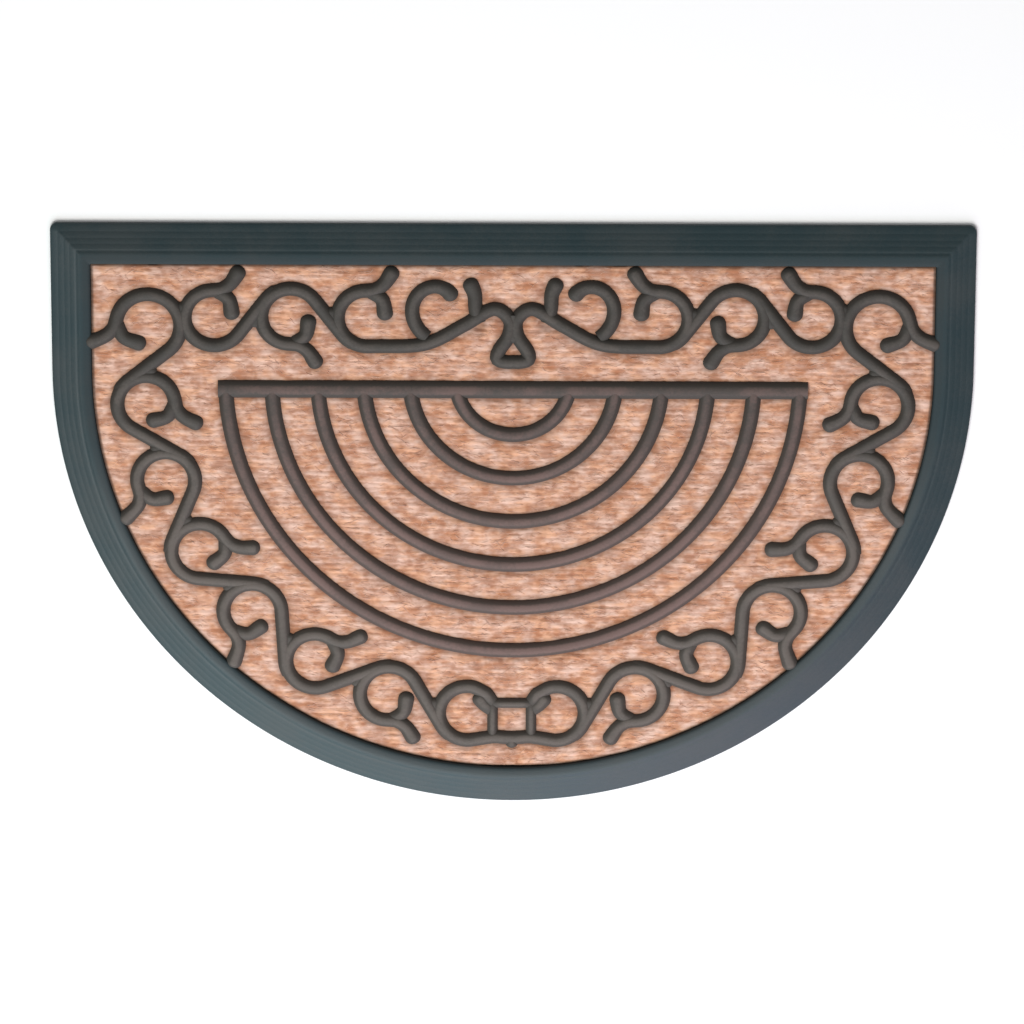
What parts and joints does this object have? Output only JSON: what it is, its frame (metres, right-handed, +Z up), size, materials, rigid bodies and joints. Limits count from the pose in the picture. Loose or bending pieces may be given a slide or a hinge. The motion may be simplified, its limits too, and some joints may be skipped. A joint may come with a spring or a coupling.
{
  "type": "coir doormat",
  "caption": "Half-round doormat: a flat woven coir panel in one rubber moulding with a bevelled border, raised scroll ribs and a fan of half rings, laid on the floor to scrape shoes",
  "frame": {"origin": "on the floor under the centre of the mat's bounding box", "axes": "+X along the straight edge, to the right as seen from the round edge; +Y towards the straight edge, which lies along the door sill; +Z up"},
  "size_m": [0.6, 0.4, 0.0107],
  "materials": {
    "rubber": "dull moulded rubber, dark slate grey",
    "coir": "coarse basket-woven coir, natural tan, matte"
  },
  "bodies": {
    "root": {"rubber_moulding": "rubber", "coir_panel": "coir"}
  },
  "joints": []
}
